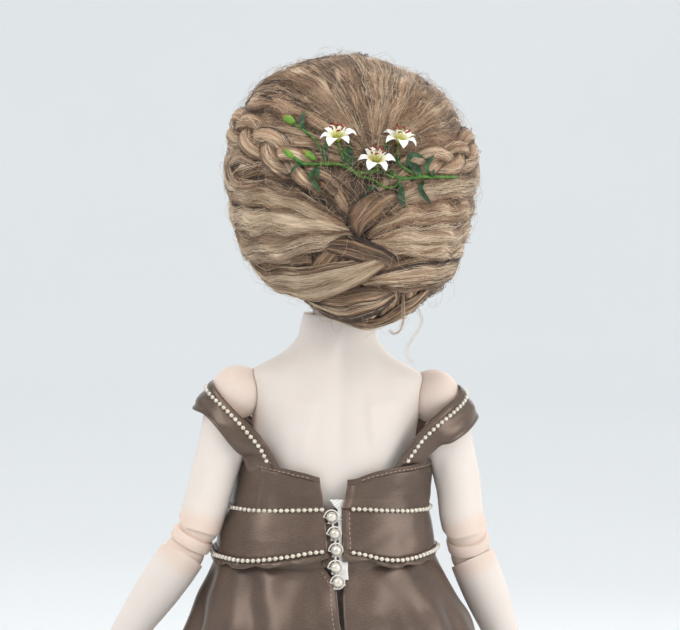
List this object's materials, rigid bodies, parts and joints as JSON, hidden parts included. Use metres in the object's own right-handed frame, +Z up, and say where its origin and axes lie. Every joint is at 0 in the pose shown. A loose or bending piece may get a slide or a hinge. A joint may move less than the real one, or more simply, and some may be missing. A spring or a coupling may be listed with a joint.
{
  "type": "ball jointed doll",
  "caption": "Strung ball jointed doll, standing, in a short satin dress trimmed with pearls, with an upswept wig and a spray of lilies; head, waist, arms and legs move on ball joints.",
  "frame": {"origin": "middle of the whole doll's box, on the floor under the soles", "axes": "+Z up, along the standing doll; the doll faces -Y, and its left side is +X"},
  "size_m": [0.2394, 0.2085, 0.6157],
  "materials": {
    "resin": "matt cast resin with a faint peach blush at the joints",
    "satin": "taupe dress satin with a soft sheen",
    "pearl": "small cream imitation pearls",
    "tape": "white woven tape with elastic loops",
    "elastic": "white covered elastic cord",
    "steel": "bright bent wire",
    "button": "cast resin dish",
    "hair": "ash blond mohair, combed and lacquered",
    "cap_net": "fine knitted net",
    "petal": "modelled clay, white with yellow green throats",
    "stem": "modelled clay on wire, leaf green",
    "eye": "polished glass-like eye with a grey iris"
  },
  "bodies": {
    "pelvis": {"lower_torso": "resin", "left_skirt": "satin", "right_skirt": "satin", "left_leg_elastic": "elastic", "right_leg_elastic": "elastic"},
    "chest": {"upper_torso": "resin", "bodice": "satin", "midriff_panel": "satin", "upper_pearls": "pearl", "lower_pearls": "pearl", "loop_tape": "tape", "button_pearls": "pearl", "left_strap": "satin", "right_strap": "satin", "left_strap_pearls": "pearl", "right_strap_pearls": "pearl", "arm_elastic": "elastic"},
    "neck_hook": {"neck_hook": "steel"},
    "neck_button": {"neck_button": "button"},
    "head": {"head": "resin", "head_cap": "resin", "left_eye": "eye", "right_eye": "eye", "wig_cap": "cap_net", "wig": "hair", "lily_stems": "stem", "lily_1": "petal", "lily_2": "petal", "lily_3": "petal"},
    "left_shoulder_ball": {"left_shoulder_ball": "resin"},
    "left_upper_arm": {"left_upper_arm": "resin"},
    "left_elbow_link": {"left_elbow_link": "resin"},
    "left_forearm": {"left_forearm": "resin"},
    "left_wrist_ball": {"left_wrist_ball": "resin"},
    "left_hand": {"left_hand": "resin"},
    "left_hip_ball": {"left_hip_ball": "resin"},
    "left_upper_thigh": {"left_upper_thigh": "resin"},
    "left_lower_thigh": {"left_lower_thigh": "resin"},
    "left_knee_link": {"left_knee_link": "resin"},
    "left_shin": {"left_shin": "resin"},
    "left_ankle_ball": {"left_ankle_ball": "resin"},
    "left_foot": {"left_foot": "resin"},
    "right_shoulder_ball": {"right_shoulder_ball": "resin"},
    "right_upper_arm": {"right_upper_arm": "resin"},
    "right_elbow_link": {"right_elbow_link": "resin"},
    "right_forearm": {"right_forearm": "resin"},
    "right_wrist_ball": {"right_wrist_ball": "resin"},
    "right_hand": {"right_hand": "resin"},
    "right_hip_ball": {"right_hip_ball": "resin"},
    "right_upper_thigh": {"right_upper_thigh": "resin"},
    "right_lower_thigh": {"right_lower_thigh": "resin"},
    "right_knee_link": {"right_knee_link": "resin"},
    "right_shin": {"right_shin": "resin"},
    "right_ankle_ball": {"right_ankle_ball": "resin"},
    "right_foot": {"right_foot": "resin"}
  },
  "joints": [
    {"name": "waist_bend", "type": "hinge", "parent": "pelvis", "child": "chest", "pos_m": [-0.007, 0.0009, 0.385], "axis": [1, 0, 0], "range_deg": [-6, 10], "deforming": ["midriff_panel", "lower_pearls", "loop_tape", "button_pearls"]},
    {"name": "neck_turn", "type": "hinge", "parent": "chest", "child": "neck_hook", "pos_m": [-0.01108, 0.0009, 0.50193], "axis": [-0.0349, 0, 0.9994], "range_deg": [-60, 60]},
    {"name": "neck_nod", "type": "hinge", "parent": "neck_hook", "child": "neck_button", "pos_m": [-0.01108, 0.0009, 0.50193], "axis": [0.9897, 0.1392, 0.0346], "range_deg": [-8, 12]},
    {"name": "head_tilt", "type": "hinge", "parent": "neck_button", "child": "head", "pos_m": [-0.01108, 0.0009, 0.50193], "axis": [-0.1391, 0.9903, -0.0049], "range_deg": [-8, 8]},
    {"name": "left_shoulder_swing", "type": "hinge", "parent": "chest", "child": "left_shoulder_ball", "pos_m": [0.03559, 0.0009, 0.46053], "axis": [-1, 0, 0], "range_deg": [-40, 80], "deforming": ["left_strap", "left_strap_pearls", "arm_elastic"]},
    {"name": "left_shoulder_lift", "type": "hinge", "parent": "left_shoulder_ball", "child": "left_upper_arm", "pos_m": [0.03559, 0.0009, 0.46053], "axis": [0, -1, 0], "range_deg": [0, 75]},
    {"name": "left_elbow_upper", "type": "hinge", "parent": "left_upper_arm", "child": "left_elbow_link", "pos_m": [0.054, 0.0059, 0.3997], "axis": [-0.8774, 0, -0.4798], "range_deg": [-8, 46]},
    {"name": "left_elbow_lower", "type": "hinge", "parent": "left_elbow_link", "child": "left_forearm", "pos_m": [0.061, 0.0039, 0.3869], "axis": [-0.8426, 0, -0.5386], "range_deg": [-5, 46]},
    {"name": "left_wrist_twist", "type": "hinge", "parent": "left_forearm", "child": "left_wrist_ball", "pos_m": [0.09429, -0.01619, 0.33481], "axis": [0.5122, -0.3091, -0.8013], "range_deg": [-80, 80]},
    {"name": "left_wrist_bend", "type": "hinge", "parent": "left_wrist_ball", "child": "left_hand", "pos_m": [0.09429, -0.01619, 0.33481], "axis": [-0.1665, -0.951, 0.2605], "range_deg": [-20, 20]},
    {"name": "right_shoulder_swing", "type": "hinge", "parent": "chest", "child": "right_shoulder_ball", "pos_m": [-0.05475, 0.0009, 0.45738], "axis": [-1, 0, 0], "range_deg": [-40, 80], "deforming": ["right_strap", "right_strap_pearls"]},
    {"name": "right_shoulder_lift", "type": "hinge", "parent": "right_shoulder_ball", "child": "right_upper_arm", "pos_m": [-0.05475, 0.0009, 0.45738], "axis": [0, 1, 0], "range_deg": [0, 75]},
    {"name": "right_elbow_upper", "type": "hinge", "parent": "right_upper_arm", "child": "right_elbow_link", "pos_m": [-0.0694, 0.0049, 0.3959], "axis": [-0.9639, 0, 0.2662], "range_deg": [-8, 38]},
    {"name": "right_elbow_lower", "type": "hinge", "parent": "right_elbow_link", "child": "right_forearm", "pos_m": [-0.0731, -0.0006, 0.3825], "axis": [-0.9171, 0, 0.3986], "range_deg": [0, 46]},
    {"name": "right_wrist_twist", "type": "hinge", "parent": "right_forearm", "child": "right_wrist_ball", "pos_m": [-0.09774, -0.02069, 0.32581], "axis": [-0.3791, -0.3091, -0.8722], "range_deg": [-80, 80]},
    {"name": "right_wrist_bend", "type": "hinge", "parent": "right_wrist_ball", "child": "right_hand", "pos_m": [-0.09774, -0.02069, 0.32581], "axis": [0.1232, -0.951, 0.2835], "range_deg": [-20, 20]},
    {"name": "left_hip_flex", "type": "hinge", "parent": "pelvis", "child": "left_hip_ball", "pos_m": [0.018, 0.0009, 0.325], "axis": [-1, 0, 0], "range_deg": [-15, 60], "deforming": ["left_skirt", "left_leg_elastic"]},
    {"name": "left_hip_abduct", "type": "hinge", "parent": "left_hip_ball", "child": "left_upper_thigh", "pos_m": [0.018, 0.0009, 0.325], "axis": [0, -1, 0], "range_deg": [0, 35]},
    {"name": "left_thigh_swivel", "type": "hinge", "parent": "left_upper_thigh", "child": "left_lower_thigh", "pos_m": [0.018, 0.0009, 0.262], "axis": [0, 0, -1], "range_deg": [-40, 5]},
    {"name": "left_knee_upper", "type": "hinge", "parent": "left_lower_thigh", "child": "left_knee_link", "pos_m": [0.018, 0.0009, 0.18], "axis": [1, 0, 0], "range_deg": [0, 48]},
    {"name": "left_knee_lower", "type": "hinge", "parent": "left_knee_link", "child": "left_shin", "pos_m": [0.018, 0.0009, 0.164], "axis": [1, 0, 0], "range_deg": [0, 48]},
    {"name": "left_ankle_flex", "type": "hinge", "parent": "left_shin", "child": "left_ankle_ball", "pos_m": [0.018, 0.0009, 0.03], "axis": [1, 0, 0], "range_deg": [-18, 18]},
    {"name": "left_ankle_tilt", "type": "hinge", "parent": "left_ankle_ball", "child": "left_foot", "pos_m": [0.018, 0.0009, 0.03], "axis": [0, 1, 0], "range_deg": [-8, 8]},
    {"name": "right_hip_flex", "type": "hinge", "parent": "pelvis", "child": "right_hip_ball", "pos_m": [-0.032, 0.0009, 0.325], "axis": [-1, 0, 0], "range_deg": [-15, 60], "deforming": ["right_skirt", "right_leg_elastic"]},
    {"name": "right_hip_abduct", "type": "hinge", "parent": "right_hip_ball", "child": "right_upper_thigh", "pos_m": [-0.032, 0.0009, 0.325], "axis": [0, 1, 0], "range_deg": [0, 35]},
    {"name": "right_thigh_swivel", "type": "hinge", "parent": "right_upper_thigh", "child": "right_lower_thigh", "pos_m": [-0.032, 0.0009, 0.262], "axis": [0, 0, 1], "range_deg": [-40, 5]},
    {"name": "right_knee_upper", "type": "hinge", "parent": "right_lower_thigh", "child": "right_knee_link", "pos_m": [-0.032, 0.0009, 0.18], "axis": [1, 0, 0], "range_deg": [0, 48]},
    {"name": "right_knee_lower", "type": "hinge", "parent": "right_knee_link", "child": "right_shin", "pos_m": [-0.032, 0.0009, 0.164], "axis": [1, 0, 0], "range_deg": [0, 48]},
    {"name": "right_ankle_flex", "type": "hinge", "parent": "right_shin", "child": "right_ankle_ball", "pos_m": [-0.032, 0.0009, 0.03], "axis": [1, 0, 0], "range_deg": [-18, 18]},
    {"name": "right_ankle_tilt", "type": "hinge", "parent": "right_ankle_ball", "child": "right_foot", "pos_m": [-0.032, 0.0009, 0.03], "axis": [0, 1, 0], "range_deg": [-8, 8]}
  ]
}
